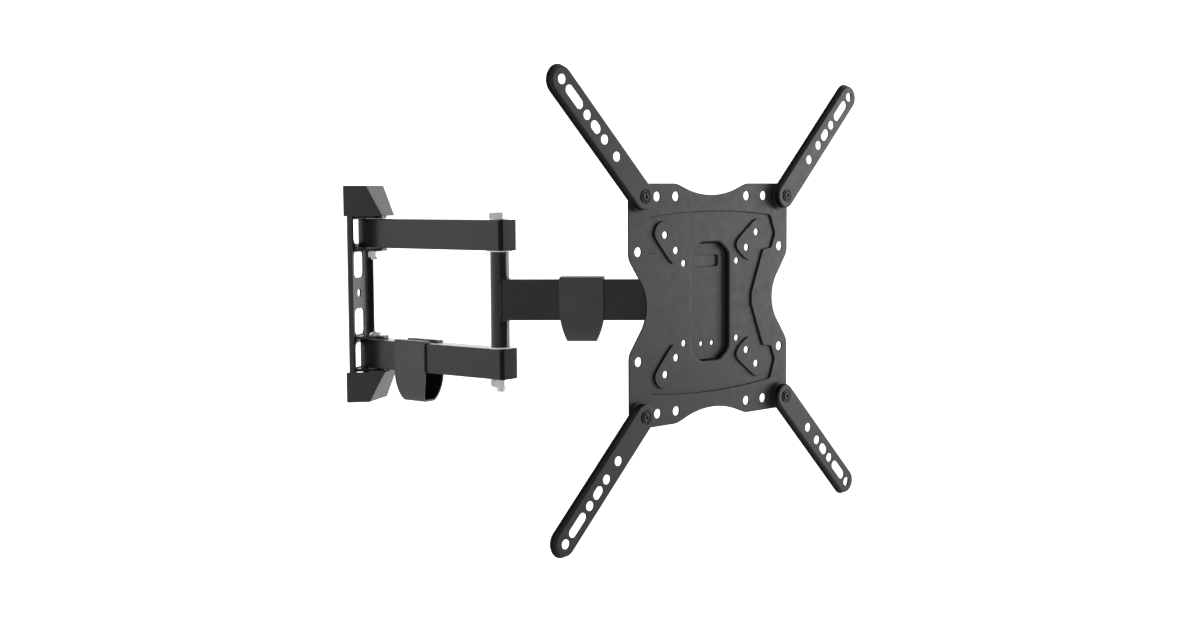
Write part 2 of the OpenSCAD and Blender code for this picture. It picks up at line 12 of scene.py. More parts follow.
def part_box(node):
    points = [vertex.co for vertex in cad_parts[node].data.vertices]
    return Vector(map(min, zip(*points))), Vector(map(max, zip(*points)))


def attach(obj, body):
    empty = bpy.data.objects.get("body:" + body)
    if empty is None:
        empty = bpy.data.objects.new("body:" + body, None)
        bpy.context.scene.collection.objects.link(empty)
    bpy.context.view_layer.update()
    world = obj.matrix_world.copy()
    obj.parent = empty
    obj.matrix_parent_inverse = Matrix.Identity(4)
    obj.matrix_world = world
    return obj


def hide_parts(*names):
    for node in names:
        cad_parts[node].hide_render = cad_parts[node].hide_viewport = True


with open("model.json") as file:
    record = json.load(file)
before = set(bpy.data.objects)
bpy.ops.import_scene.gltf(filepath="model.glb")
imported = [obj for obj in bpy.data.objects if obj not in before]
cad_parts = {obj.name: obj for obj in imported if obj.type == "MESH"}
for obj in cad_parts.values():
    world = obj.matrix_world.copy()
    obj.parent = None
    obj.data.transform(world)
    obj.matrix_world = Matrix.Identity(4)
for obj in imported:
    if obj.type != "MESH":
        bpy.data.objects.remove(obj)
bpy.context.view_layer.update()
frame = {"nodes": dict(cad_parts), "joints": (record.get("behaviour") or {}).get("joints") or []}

bl_info = {
    "name": "Full Motion Wall Mount",
    "version": (1, 0, 0),
    "blender": (4, 5, 0),
    "location": "View3D > Sidebar > Wall Mount",
    "description": "Pressed plates, tube arms, clips and hardware of a folding TV wall mount",
    "category": "Object",
}

MM = 0.001
UP = Vector((0, 0, 1))
CORNERS = {"ul": (-1, 1), "ur": (1, 1), "ll": (-1, -1), "lr": (1, -1)}

# in millimetres, as every plain size below is
CORNER_REACH = 100
TV_HOLE, PIVOT_HOLE = 4.3, 3.05
BoltSize = namedtuple("BoltSize", "across_flats radius pitch head")
M10 = BoltSize(17, 5, 1.5, 6.4)
M8 = BoltSize(13, 4, 1.25, 5.3)


# ---- places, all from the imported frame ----
def joint(name):
    return next(j for j in frame["joints"] if j["name"] == name)


def axes(origin, x, y, z):
    """A matrix that puts local X, Y and Z along these directions, from this origin."""
    m = Matrix((x, y, z)).transposed().to_4x4()
    m.translation = origin
    return m


def bar(start, end):
    """Local -Y runs along a bar from start to end."""
    y = (start - end).normalized()
    return axes(start, y.cross(UP), y, UP)


WALL = Vector(joint("wall_swivel")["pos_m"])
ELBOW = Vector(joint("elbow_swivel")["pos_m"])
HEAD = Vector(joint("head_swivel")["pos_m"])
TILT = Vector(joint("tilt")["pos_m"])
ACROSS = Vector(joint("tilt")["axis"]).normalized()
FRONT = ACROSS.cross(UP)
ARM = bar(ELBOW, WALL) @ Matrix.Rotation(math.pi, 4, "Z")
FOREARM = bar(ELBOW, HEAD)


def reach(node, direction):
    """How far a CAD node reaches in a direction, from the frame's origin."""
    return max(v.co.dot(direction) for v in frame["nodes"][node].data.vertices)


PLATE = axes(TILT + FRONT * (reach("tv_plate", FRONT) - TILT.dot(FRONT)), ACROSS, UP, FRONT)


def extent(node, place, axis=2):
    """Where a CAD node starts and ends along one of a place's own directions."""
    inverse = place.inverted()
    along = [(inverse @ v.co)[axis] for v in frame["nodes"][node].data.vertices]
    return min(along), max(along)


def corner_place(name):
    """The pivot of one extension arm, on the TV plate's face."""
    x, y = CORNERS[name]
    return PLATE @ Matrix.Translation(Vector((x * CORNER_REACH, y * CORNER_REACH, 0)) * MM)


def onto(place):
    """Takes a point of a sheet, in its own millimetres, to where the sheet lies."""
    return lambda u, v, lift: place @ (Vector((u, v, lift)) * MM)


def around(place, radius, height, i, steps):
    """A point on a circle about local Z, i steps of a whole turn along it."""
    angle = 2 * math.pi * i / steps
    return place @ Vector((radius * MM * math.cos(angle), radius * MM * math.sin(angle), height * MM))


# ---- outlines, in millimetres ----
def arc(centre, radius, start, end, steps):
    return [(centre[0] + radius * math.cos(math.radians(start + (end - start) * i / steps)),
             centre[1] + radius * math.sin(math.radians(start + (end - start) * i / steps)))
            for i in range(steps + 1)]


def circle(centre, radius, steps=28):
    return arc(centre, radius, 0, 360, steps)[:-1]


def stadium(start, end, radius, steps):
    """A round-ended outline along local X."""
    return arc((start, 0), radius, 90, 270, steps) + arc((end, 0), radius, -90, 90, steps)


def four_ways(quarter):
    """A closed outline from the quarter that runs from the right side up to the top."""
    ring = [*quarter, *[(-x, y) for x, y in reversed(quarter)], *[(-x, -y) for x, y in quarter],
            *[(x, -y) for x, y in reversed(quarter)]]
    return [p for i, p in enumerate(ring) if math.dist(p, ring[i - 1]) > 0.01]


def soften(points, cut):
    """Rounds the corners of a closed outline by cutting each one."""
    out = []
    for p, n in zip(points, points[1:] + points[:1]):
        dx, dy = (n[0] - p[0]) * cut, (n[1] - p[1]) * cut
        out += [(p[0] + dx, p[1] + dy), (n[0] - dx, n[1] - dy)]
    return out


def area(points):
    """Positive where the outline runs anticlockwise."""
    return sum(p[0] * q[1] - q[0] * p[1] for p, q in zip(points, points[1:] + points[:1])) / 2


def grown(points, by):
    """A closed outline moved outward by a distance, or inward where it is negative."""
    sign = 1 if area(points) > 0 else -1
    out = []
    for i, p in enumerate(points):
        a, b = points[i - 1], points[(i + 1) % len(points)]
        t1, t2 = Vector((p[0] - a[0], p[1] - a[1])), Vector((b[0] - p[0], b[1] - p[1]))
        n1 = Vector((t1.y, -t1.x)).normalized() * sign
        n2 = Vector((t2.y, -t2.x)).normalized() * sign
        m = n1 + n2
        m = m.normalized() / max(0.5, math.sqrt((1 + n1.dot(n2)) / 2))
        out.append((p[0] + m.x * by, p[1] + m.y * by))
    return out


def inside(p, points):
    """Whether a point lies in a closed outline."""
    hit = False
    for a, b in zip(points, points[1:] + points[:1]):
        if (a[1] > p[1]) != (b[1] > p[1]) and p[0] < (b[0] - a[0]) * (p[1] - a[1]) / (b[1] - a[1]) + a[0]:
            hit = not hit
    return hit


# ---- mesh building ----
def new_piece(name, bm, body, material, replaced=()):
    mesh = bpy.data.meshes.new(name)
    bm.to_mesh(mesh)
    bm.free()
    for face in mesh.polygons:
        face.use_smooth = True
    piece = bpy.data.objects.new(name, mesh)
    bpy.context.scene.collection.objects.link(piece)
    piece.data.materials.append(material)
    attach(piece, body)
    if replaced:
        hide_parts(*replaced)
    return piece


def rounded(piece, width, segments=2, angle=35):
    """Softens a piece's edges and levels its shading."""
    bevel = piece.modifiers.new("rounded edges", "BEVEL")
    bevel.width = width * MM
    bevel.segments = segments
    bevel.limit_method = "ANGLE"
    bevel.angle_limit = math.radians(angle)
    bevel.use_clamp_overlap = True
    levelled(piece)


def levelled(piece):
    level = piece.modifiers.new("level shading", "WEIGHTED_NORMAL")
    level.keep_sharp = True
    level.weight = 60


def crisp(piece):
    """Level shading with the corners between flat faces left sharp."""
    piece.data.set_sharp_from_angle(angle=math.radians(22))
    levelled(piece)


def thickened(piece, thickness, painted_shade_lining=0):
    """Gives a sheet its thickness; the third argument is how many material slots further the material on its inner
    side lies, which the clips use for painted shade inside.
    """
    shell = piece.modifiers.new("sheet thickness", "SOLIDIFY")
    shell.thickness = thickness * MM
    shell.offset = -1
    shell.use_even_offset = True
    shell.use_quality_normals = True
    shell.material_offset = painted_shade_lining


def pressed_sheet(loops, edge, holes, place, flip=False):
    """A sheet pressed to the height that each closed or open outline carries, as a bmesh.
    loops is a list of (points, height, closed); edge is the sheet's own outline, and holes are left open."""
    points, heights, edges = [], [], []
    for outline, height, closed in loops:
        first = len(points)
        points += [Vector(p) for p in outline]
        heights += [height] * len(outline)
        edges += [(first + i, first + i + 1) for i in range(len(outline) - 1)]
        if closed:
            edges.append((len(points) - 1, first))
    made, _, faces, origin, _, _ = delaunay_2d_cdt(points, edges, [], 0, 1e-5)
    bm = bmesh.new()
    verts = []
    for v, source in zip(made, origin):
        near = source[0] if source else min(range(len(points)), key=lambda i: (points[i] - v).length_squared)
        verts.append(bm.verts.new(place(v.x, v.y, heights[near])))
    for face in faces:
        middle = sum((made[i] for i in face), Vector((0, 0))) / len(face)
        if inside(middle, edge) and not any(inside(middle, h) for h in holes):
            bm.faces.new([verts[i] for i in (reversed(face) if flip else face)])
    bmesh.ops.delete(bm, geom=[v for v in bm.verts if not v.link_faces], context="VERTS")
    return bm


def lipped(outline, height, hole=True):
    """The loops of a cut edge with a small rounded lip."""
    sign = 1 if hole else -1
    return [(grown(outline, sign * 0.5), height, True), (grown(outline, sign * 0.15), height - 0.1, True),
            (outline, height - 0.4, True)]


def stepped(outline, outer, inner):
    """The loops of a pressed step from the outer height to the inner one, with a rounded brow."""
    side, deep = (1, outer - inner) if outer > inner else (-1, inner - outer)
    brow, profile = 0.55, []
    for i in range(6):
        a = math.radians(18 * i)
        profile.append((brow - brow * math.sin(a), brow * (1 - math.cos(a))))
    profile += [(-0.08, deep - 0.35), (-0.2, deep - 0.1), (-0.45, deep)]
    top = max(outer, inner)
    return [(grown(outline, side * out), top - d, True) for out, d in profile]


def lathe(profile, steps, place):
    """A turned shape as a bmesh: profile is (radius, height) from the bottom of the axis to its top."""
    bm = bmesh.new()
    rings = [[bm.verts.new(around(place, radius, height, i, steps)) for i in range(steps if radius else 1)]
             for radius, height in profile]
    for low, high in zip(rings, rings[1:]):
        for i in range(steps):
            corners = [low[i % len(low)], low[(i + 1) % len(low)], high[(i + 1) % len(high)], high[i % len(high)]]
            kept = [c for k, c in enumerate(corners) if c not in corners[:k]]
            if len(kept) > 2:
                bm.faces.new(kept)
    return bm


def skin(bm, rings):
    """Joins rings of vertices with faces and closes both ends."""
    for a, b in zip(rings, rings[1:]):
        for i in range(len(a)):
            k = (i + 1) % len(a)
            bm.faces.new((a[i], a[k], b[k], b[i]))
    bm.faces.new(list(reversed(rings[0])))
    bm.faces.new(rings[-1])


def hexagon(across_flats, low, high, place, low_chamfer=False):
    """A hexagon head or nut with the curved chamfers that turning leaves, as a bmesh."""
    bm = bmesh.new()
    steps, flat = 72, across_flats / 2
    face = flat * 0.95

    def edge(i):
        return flat / math.cos(math.radians((360 * i / steps + 30) % 60 - 30))

    def drop(i):
        return (edge(i) - face) * math.tan(math.radians(30))

    def ring(radius, height):
        return [bm.verts.new(around(place, radius(i), height(i), i, steps)) for i in range(steps)]

    if low_chamfer:
        rings = [ring(lambda i: face, lambda i: low), ring(edge, lambda i: low + drop(i))]
    else:
        rings = [ring(edge, lambda i: low)]
    rings += [ring(edge, lambda i: high - drop(i)), ring(lambda i: face, lambda i: high)]
    skin(bm, rings)
    return bm


def thread(radius, pitch, low, high, place, bm, steps=24):
    """A screw thread with a rounded end, added to a bmesh."""
    depth, end_taper = 0.6 * pitch, 0.9
    levels = int((high - low) / pitch * 4)
    rings = []
    for k in range(levels + 1):
        z = low + (high - low) * k / levels
        ring = []
        for i in range(steps):
            phase = (z / pitch + i / steps) % 1
            r = radius - depth * abs(2 * phase - 1) * 0.8
            r = min(r, radius - end_taper + (z - low) * end_taper)
            ring.append(bm.verts.new(around(place, r, z, i, steps)))
        rings.append(ring)
    skin(bm, rings)


def bead(bm, path, radius, place, steps=8):
    """A weld bead with tapered ends and slight ripples along a path in local millimetres, added to a bmesh."""
    ripple, ripple_pace, blunt, end_steps = 0.16, 2.1, 0.35, 1.5
    rings = []
    for k, p in enumerate(path):
        a, b = Vector(path[max(0, k - 1)]), Vector(path[min(len(path) - 1, k + 1)])
        t = (b - a).normalized()
        side = t.cross(UP if abs(t.z) < 0.9 else Vector((1, 0, 0))).normalized()
        over = side.cross(t)
        ends = min(1.0, (k + blunt) / end_steps, (len(path) - 1 - k + blunt) / end_steps)
        r = radius * ends * (1 + ripple * math.sin(k * ripple_pace))
        ring = []
        for i in range(steps):
            angle = 2 * math.pi * i / steps
            out = side * math.cos(angle) + over * math.sin(angle)
            ring.append(bm.verts.new(place @ ((Vector(p) + out * r) * MM)))
        rings.append(ring)
    skin(bm, rings)
    bmesh.ops.recalc_face_normals(bm, faces=bm.faces)


def merge(bm, other):
    """Adds another bmesh's shape to this one."""
    mesh = bpy.data.meshes.new("part")
    other.to_mesh(mesh)
    other.free()
    bm.from_mesh(mesh)
    bpy.data.meshes.remove(mesh)


# ---- finishes ----
def finish_base(name):
    """A new material with its node tree, its shader and the piece's own coordinates."""
    material = bpy.data.materials.new(name)
    material.use_nodes = True
    tree = material.node_tree
    shader = tree.nodes["Principled BSDF"]
    place = tree.nodes.new("ShaderNodeTexCoord").outputs["Object"]
    return material, tree, shader, place


def grain(tree, place, scale, detail=3.0, stretch=None):
    """Noise of about this many grains to the metre."""
    if stretch:
        mapping = tree.nodes.new("ShaderNodeMapping")
        mapping.inputs["Scale"].default_value = stretch
        tree.links.new(place, mapping.inputs["Vector"])
        place = mapping.outputs["Vector"]
    noise = tree.nodes.new("ShaderNodeTexNoise")
    noise.inputs["Scale"].default_value = scale
    noise.inputs["Detail"].default_value = detail
    tree.links.new(place, noise.inputs["Vector"])
    return noise.outputs["Fac"]


def spread(tree, value, low, high, from_low=0.3, from_high=0.7):
    """Maps a value between from_low and from_high to low and high."""
    out = tree.nodes.new("ShaderNodeMapRange")
    out.inputs["From Min"].default_value = from_low
    out.inputs["From Max"].default_value = from_high
    out.inputs["To Min"].default_value = low
    out.inputs["To Max"].default_value = high
    tree.links.new(value, out.inputs["Value"])
    return out.outputs["Result"]


def blend_colours(tree, value, a, b):
    mix = tree.nodes.new("ShaderNodeMix")
    mix.data_type = "RGBA"
    tree.links.new(value, mix.inputs["Factor"])
    for socket, colour in (("A", a), ("B", b)):
        target = next(s for s in mix.inputs if s.name == socket and s.type == "RGBA")
        if isinstance(colour, bpy.types.NodeSocket):
            tree.links.new(colour, target)
        else:
            target.default_value = (*colour, 1)
    return next(s for s in mix.outputs if s.type == "RGBA")


def bumped(tree, shader, height, distance):
    bump = tree.nodes.new("ShaderNodeBump")
    bump.inputs["Strength"].default_value = 1.0
    bump.inputs["Distance"].default_value = distance * MM
    tree.links.new(height, bump.inputs["Height"])
    tree.links.new(bump.outputs["Normal"], shader.inputs["Normal"])


def worn_and_highlit(tree, colour, rubbed_highlight_colour, amount):
    """Edges rub lighter and carry a painted highlight: the mesh's own convexity sets where."""
    point = tree.nodes.new("ShaderNodeNewGeometry").outputs["Pointiness"]
    where = spread(tree, point, 0, amount, 0.51, 0.62)
    return blend_colours(tree, where, colour, rubbed_highlight_colour)


def tone(colour, by):
    return tuple(min(1.0, c * by) for c in colour[:3])


def painted_wall_shade_mask(tree):
    """A mask for painted shade: it goes from 0 on the faces of a pressing to 1 on its walls, which stand along its
    depth.
    """
    across = tree.nodes.new("ShaderNodeVectorMath")
    across.operation = "DOT_PRODUCT"
    across.inputs[1].default_value = FRONT
    tree.links.new(tree.nodes.new("ShaderNodeTexCoord").outputs["Normal"], across.inputs[0])
    size = tree.nodes.new("ShaderNodeMath")
    size.operation = "ABSOLUTE"
    tree.links.new(across.outputs["Value"], size.inputs[0])
    return spread(tree, size.outputs["Value"], 1, 0, 0.45, 0.93)


def painted_crease_shade(tree, colour, dark, reach_mm):
    """Painted shade: a darker colour in seams and at the feet of walls, where the piece's own shape closes in."""
    shut = tree.nodes.new("ShaderNodeAmbientOcclusion")
    shut.inputs["Distance"].default_value = reach_mm * MM
    shut.samples = 6
    shut.only_local = True
    return blend_colours(tree, spread(tree, shut.outputs["AO"], 1, 0, 0.35, 0.9), colour, dark)


def uneven(tree, place, colour, scale):
    """A colour with slight shade changes."""
    return blend_colours(tree, spread(tree, grain(tree, place, scale), 0, 1), tone(colour, 0.92), tone(colour, 1.08))


# Painted light: makes a surface give off white light, though it is no lamp.
def painted_glow(shader, strength):
    shader.inputs["Emission Color"].default_value = (1, 1, 1, 1)
    shader.inputs["Emission Strength"].default_value = strength


def painted(name, colour, roughness, grain_size, depth, fleck=1.2, wear_and_highlight=0.35, coat=0.0, painted_shade_reach=0.0):
    """Baked paint on steel: fine orange peel, slight shade changes, rubbed edges with a painted highlight and, on a
    pressing, painted shade on its walls and in its creases. grain_size, depth and the reach of that painted shade are
    in millimetres."""
    material, tree, shader, place = finish_base(name)
    shade = uneven(tree, place, colour, 30)
    flecks = spread(tree, grain(tree, place, 1000 / grain_size, 1), 0, 1, 0.42, 0.75)
    shade = blend_colours(tree, flecks, shade, tone(colour, fleck))
    # Rubbed edges, lighter from wear and from a painted highlight on their convex rounding.
    shade = worn_and_highlit(tree, shade, tone(colour, 3.4), wear_and_highlight)
    if painted_shade_reach:
        shader.inputs["Specular IOR Level"].default_value = 0.3
        # Painted shade: the walls of a pressing are made darker, where they stand in shade.
        shade = blend_colours(tree, painted_wall_shade_mask(tree), shade, tone(colour, 0.08))
        # Painted shade: darker seams and feet of walls, where the piece's own shape closes in.
        shade = painted_crease_shade(tree, shade, tone(colour, 0.1), painted_shade_reach)
    tree.links.new(shade, shader.inputs["Base Color"])
    tree.links.new(spread(tree, grain(tree, place, 120), roughness - 0.04, roughness + 0.04),
                   shader.inputs["Roughness"])
    shader.inputs["Coat Weight"].default_value = coat
    shader.inputs["Coat Roughness"].default_value = 0.16
    bumped(tree, shader, grain(tree, place, 1000 / grain_size, 2), depth)
    return material


def moulded(name, colour, roughness, specular=0.5, painted_glow_strength=0.0):
    """Injection moulded plastic with a fine spark-eroded texture, lighter edges from wear and a painted highlight,
    painted shade in its hollows and seams, and an optional painted glow.
    """
    material, tree, shader, place = finish_base(name)
    # Lighter edges from wear and a painted highlight.
    shade = worn_and_highlit(tree, uneven(tree, place, colour, 55), tone(colour, 1.9), 0.4)
    # Painted shade in the hollows and seams of the moulding.
    shade = painted_crease_shade(tree, shade, tone(colour, 0.25), 20)
    tree.links.new(shade, shader.inputs["Base Color"])
    tree.links.new(spread(tree, grain(tree, place, 420, 4), roughness - 0.06, roughness + 0.06),
                   shader.inputs["Roughness"])
    shader.inputs["Specular IOR Level"].default_value = specular
    # Painted glow: the plastic gives off light as though lit, though it is no lamp.
    painted_glow(shader, painted_glow_strength)
    bumped(tree, shader, grain(tree, place, 2200, 2), 0.012)
    return material


def plated(name, colour, roughness):
    """Zinc plate on a turned or forged steel part: faint drawn lines, a dull bloom, lighter edges from wear and a
    painted highlight, and a faint painted glow.
    """
    material, tree, shader, place = finish_base(name)
    bloom = spread(tree, grain(tree, place, 90), 0, 1)
    shade = blend_colours(tree, bloom, tone(colour, 0.92), tone(colour, 1.04))
    # Lighter edges from wear and a painted highlight.
    tree.links.new(worn_and_highlit(tree, shade, tone(colour, 1.2), 0.3), shader.inputs["Base Color"])
    tree.links.new(spread(tree, grain(tree, place, 200), roughness - 0.04, roughness + 0.06),
                   shader.inputs["Roughness"])
    shader.inputs["Metallic"].default_value = 0.6
    # Painted glow: a faint white light from the zinc itself, though it is no lamp.
    painted_glow(shader, 0.06)
    bumped(tree, shader, grain(tree, place, 160, 2, (1, 1, 14)), 0.004)
    return material


# ---- settings ----
def size_property(label, description, default, low, high):
    return FloatProperty(name=label, description=description, default=default * MM, min=low * MM, max=high * MM,
                         unit="LENGTH", subtype="DISTANCE", precision=4)


def colour_property(label, description, default):
    return FloatVectorProperty(name=label, description=description, default=default, size=3, min=0, max=1,
                               subtype="COLOR")


def factor_property(label, description, default):
    return FloatProperty(name=label, description=description, default=default, min=0, max=1, subtype="FACTOR")


class MountSizes(bpy.types.PropertyGroup):
    sheet: size_property("Sheet thickness", "Thickness of the pressed steel sheets", 2, 1, 4)
    bend: size_property("Bend radius", "Radius on the outside of the extension arms' pressed rims", 1.5, 1, 3)
    lip: size_property("Rim lip", "Width of the lip around the extension arms' rims", 1.8, 0.5, 2.5)
    edge: size_property("Edge rounding", "Rounding on the edges of tubes, ears and brackets", 0.45, 0.1, 1)
    clip_wall: size_property("Clip wall", "Wall thickness of the cable clips", 2.2, 1, 3)
    weld: size_property("Weld size", "Radius of the weld beads", 1.3, 0.5, 3)


class MountFinishes(bpy.types.PropertyGroup):
    plate: colour_property("Plate coat", "Colour of the TV plate and the extension arms", (0.049, 0.049, 0.05))
    arm: colour_property("Arm coat", "Colour of the arms and the wall bracket", (0.0175, 0.0195, 0.0235))
    plastic: colour_property("Moulded plastic", "Colour of the covers, bushings and spacers", (0.072, 0.074, 0.076))
    clip: colour_property("Clip plastic", "Colour of the cable clips", (0.094, 0.1, 0.11))
    screw: colour_property("Screw black", "Colour of the corner screws", (0.042, 0.042, 0.043))
    zinc: colour_property("Zinc", "Colour of the plated bolts and nuts", (0.95, 0.955, 0.96))
    nylon: colour_property("White nylon", "Colour of the bearings and washers", (0.82, 0.82, 0.80))
    plate_roughness: factor_property("Plate roughness", "Roughness of the plate coat", 0.5)
    arm_roughness: factor_property("Arm roughness", "Roughness of the arm coat", 0.3)


def sizes():
    return bpy.context.scene.mount_sizes


def finishes():
    return bpy.context.scene.mount_finishes


FINISHES = {}


def finish_of(name):
    """One of the finishes, made once."""
    if name not in FINISHES:
        f = finishes()
        # Painted light in these finishes: every one has painted highlights on its edges; the moulded ones, and the
        # painted ones given a reach, have painted shade in their seams, the painted ones also on the walls of their
        # pressings; the white nylon and the zinc have a painted glow.
        make = {
            "plate_paint": lambda: painted("plate powder coat", tuple(f.plate), f.plate_roughness, 0.7, 0.01,
                                           wear_and_highlight=0.4, painted_shade_reach=4),
            "rim_paint": lambda: painted("rim powder coat", tone(f.plate, 0.97), f.plate_roughness, 0.7, 0.01,
                                         wear_and_highlight=0.55, painted_shade_reach=0.7),
            "arm_paint": lambda: painted("arm powder coat", tuple(f.arm), f.arm_roughness, 1.5, 0.0015,
                                         fleck=1.04, wear_and_highlight=0.25, coat=0.25),
            "black_plastic": lambda: moulded("moulded black plastic", tuple(f.plastic), 0.36),
            "cap_plastic": lambda: moulded("satin cap plastic", tone(f.arm, 0.7), 0.45, specular=0.15),
            # Painted shade: a near-black material for the clips' inner sides, which lie in shade.
            "painted_shade_lining": lambda: moulded("unlit clip lining", tone(f.plastic, 0.12), 0.7, specular=0.1),
            "clip_plastic": lambda: moulded("moulded clip plastic", tuple(f.clip), 0.42),
            "black_screw": lambda: painted("blackened screw steel", tuple(f.screw), 0.4, 1.2, 0.01, painted_shade_reach=0.6),
            "black_nylon": lambda: moulded("black nylon", tone(f.plastic, 0.7), 0.5),
            "white_nylon": lambda: moulded("white nylon", tuple(f.nylon), 0.4, painted_glow_strength=0.25),
            "zinc": lambda: plated("bright zinc", tuple(f.zinc), 0.25),
        }
        FINISHES[name] = make[name]()
    return FINISHES[name]


def keep_node(name, finish, edge=None, segments=2):
    """A CAD node that stays: its own finish, rounded edges and level shading."""
    node = frame["nodes"][name]
    node.data.materials.clear()
    node.data.materials.append(finish_of(finish))
    for face in node.data.polygons:
        face.use_smooth = True
    weld = node.modifiers.new("joined corners", "WELD")
    weld.merge_threshold = 0.01 * MM
    flat = node.modifiers.new("whole faces", "DECIMATE")
    flat.decimate_type = "DISSOLVE"
    flat.angle_limit = math.radians(1.0)
    rounded(node, edge if edge is not None else sizes().edge / MM, segments, 30)


# ---- pieces ----
class WallBracketOperator(bpy.types.Operator):
    """Makes the folded wall plate with its slots, the hinge ears' finish and the weld beads that hold them"""
    bl_idname = "wallmount.wall_bracket"
    bl_label = "Wall bracket"

    def execute(self, context):
        low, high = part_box("wall_plate")
        half_width, half_height, depth = high.x / MM, high.z / MM, -low.y / MM
        bend, bend_steps, sheet = 3.0, 6, sizes().sheet / MM
        window_spans, window_half, window_corner = ((16.3, 44), (52, 86)), 12, 6
        screw_heights, screw_radius = (0, 98, -98), 4.5
        weld_half, weld_step = 16, 1.6
        flat, turn = half_width - bend, bend * math.pi / 2
        edge_at = flat + turn + depth - bend

        def fold(s, z, lift):
            """Takes a point of the flat sheet to where the folded one has it."""
            side = math.copysign(1, s)
            s = abs(s)
            if s <= flat:
                x, y = s, 0
            elif s <= flat + turn:
                a = (s - flat) / bend
                x, y = flat + bend * math.sin(a), -bend * (1 - math.cos(a))
            else:
                x, y = half_width, -bend - (s - flat - turn)
            return Vector((side * x, y, z)) * MM

        def window(start, end):
            inner = window_half - window_corner
            low, high = min(start, end) + window_corner, max(start, end) - window_corner
            return [p for x, z, a in ((inner, high, 0), (-inner, high, 90), (-inner, low, 180), (inner, low, 270))
                    for p in arc((x, z), window_corner, a, a + 90, 6)]

        holes = [window(side * start, side * end) for side in (-1, 1) for start, end in window_spans]
        holes += [circle((0, z), screw_radius) for z in screw_heights]
        edge = [(-edge_at, -half_height), (edge_at, -half_height), (edge_at, half_height), (-edge_at, half_height)]
        loops = [(edge, 0, True)] + [(h, 0, True) for h in holes]
        for side in (-1, 1):
            for k in range(bend_steps + 1):
                s = side * (flat + turn * k / bend_steps)
                loops.append(([(s, -half_height), (s, half_height)], 0, False))
        bm = pressed_sheet(loops, edge, holes, fold, flip=True)
        piece = new_piece("wall_plate_sheet", bm, "wall_side", finish_of("arm_paint"), ["wall_plate"])
        thickened(piece, sheet)
        rounded(piece, 0.35)
        beads = bmesh.new()
        for node in ("upper_top_ear", "upper_bottom_ear", "lower_top_ear", "lower_bottom_ear"):
            keep_node(node, "arm_paint")
            ear_low, ear_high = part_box(node)
            for z in (ear_low.z, ear_high.z):
                path = [(-weld_half + weld_step * i, -sheet - 0.2, z / MM) for i in range(21)]
                bead(beads, path, sizes().weld / MM, Matrix.Identity(4))
        new_piece("ear_welds", beads, "wall_side", finish_of("arm_paint"))
        return {"FINISHED"}


class WallPivotsOperator(bpy.types.Operator):
    """Gives the wall pivots' bolts, nuts and washers their finish and detail"""
    bl_idname = "wallmount.wall_pivots"
    bl_label = "Wall pivots"

    def execute(self, context):
        for level in ("upper", "lower"):
            keep_node(level + "_pivot_bolt", "zinc", 0.25)
            keep_node(level + "_pivot_washers", "white_nylon", 0.1)
            low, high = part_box(level + "_pivot_nut")
            at = Matrix.Translation((WALL.x, WALL.y, 0))
            nut = hexagon((high.y - low.y) / MM, low.z / MM, high.z / MM, at, low_chamfer=True)
            crisp(new_piece(level + "_pivot_hex_nut", nut, "wall_side", finish_of("zinc"),
                            [level + "_pivot_nut"]))
        return {"FINISHED"}


class CoversOperator(bpy.types.Operator):
    """Gives the two moulded covers rounded edges and their plastic"""
    bl_idname = "wallmount.covers"
    bl_label = "Covers"

    def execute(self, context):
        for node in ("top_cover", "bottom_cover"):
            keep_node(node, "black_plastic", 0.9, 3)
        return {"FINISHED"}


class FirstArmsOperator(bpy.types.Operator):
    """Gives the two first arms their coat, with their knuckles, end caps and bushings"""
    bl_idname = "wallmount.first_arms"
    bl_label = "First arms"

    def execute(self, context):
        for level in ("upper", "lower"):
            keep_node(level + "_arm_tube", "arm_paint", 0.3)
            keep_node(level + "_arm_knuckle", "arm_paint", 0.3)
            keep_node(level + "_arm_cap", "cap_plastic", 0.3)
            keep_node(level + "_elbow_bushing", "black_nylon", 0.3)
        return {"FINISHED"}


class ElbowOperator(bpy.types.Operator):
    """Makes the long elbow bolt with its chamfered head, thread and nut, and the nylon bearings on the sleeve"""
    bl_idname = "wallmount.elbow"
    bl_label = "Elbow"

    def execute(self, context):
        upright = Matrix.Translation((ELBOW.x, ELBOW.y, 0)) @ Matrix.Rotation(math.radians(12), 4, "Z")
        low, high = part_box("elbow_bolt")
        head_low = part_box("elbow_head_washer")[1].z / MM
        nut_low, nut_high = (corner.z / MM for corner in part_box("elbow_nut"))
        bolt = hexagon(M10.across_flats, head_low, high.z / MM, upright)
        merge(bolt, lathe([(0, nut_low), (M10.radius - 0.1, nut_low), (M10.radius, nut_low + 0.4),
                           (M10.radius, head_low + 0.2), (0, head_low + 0.2)], 32, upright))
        thread(M10.radius, M10.pitch, low.z / MM, nut_low + 0.6, upright, bolt)
        crisp(new_piece("elbow_long_bolt", bolt, "first_arms", finish_of("zinc"), ["elbow_bolt"]))
        nut = hexagon(M10.across_flats, nut_low, nut_high, upright, low_chamfer=True)
        merge(nut, lathe([(6.4, nut_low + 0.5), (6.2, nut_low - 0.5), (5.6, nut_low - 0.9),
                          (M10.radius, nut_low - 0.9), (M10.radius, nut_low + 0.5)], 32, upright))
        crisp(new_piece("elbow_lock_nut", nut, "first_arms", finish_of("zinc"), ["elbow_nut"]))
        keep_node("elbow_head_washer", "zinc", 0.2)
        for node in ("elbow_upper_bearing", "elbow_lower_bearing"):
            keep_node(node, "white_nylon", 0.2)
        keep_node("elbow_sleeve", "arm_paint", 0.3)
        return {"FINISHED"}


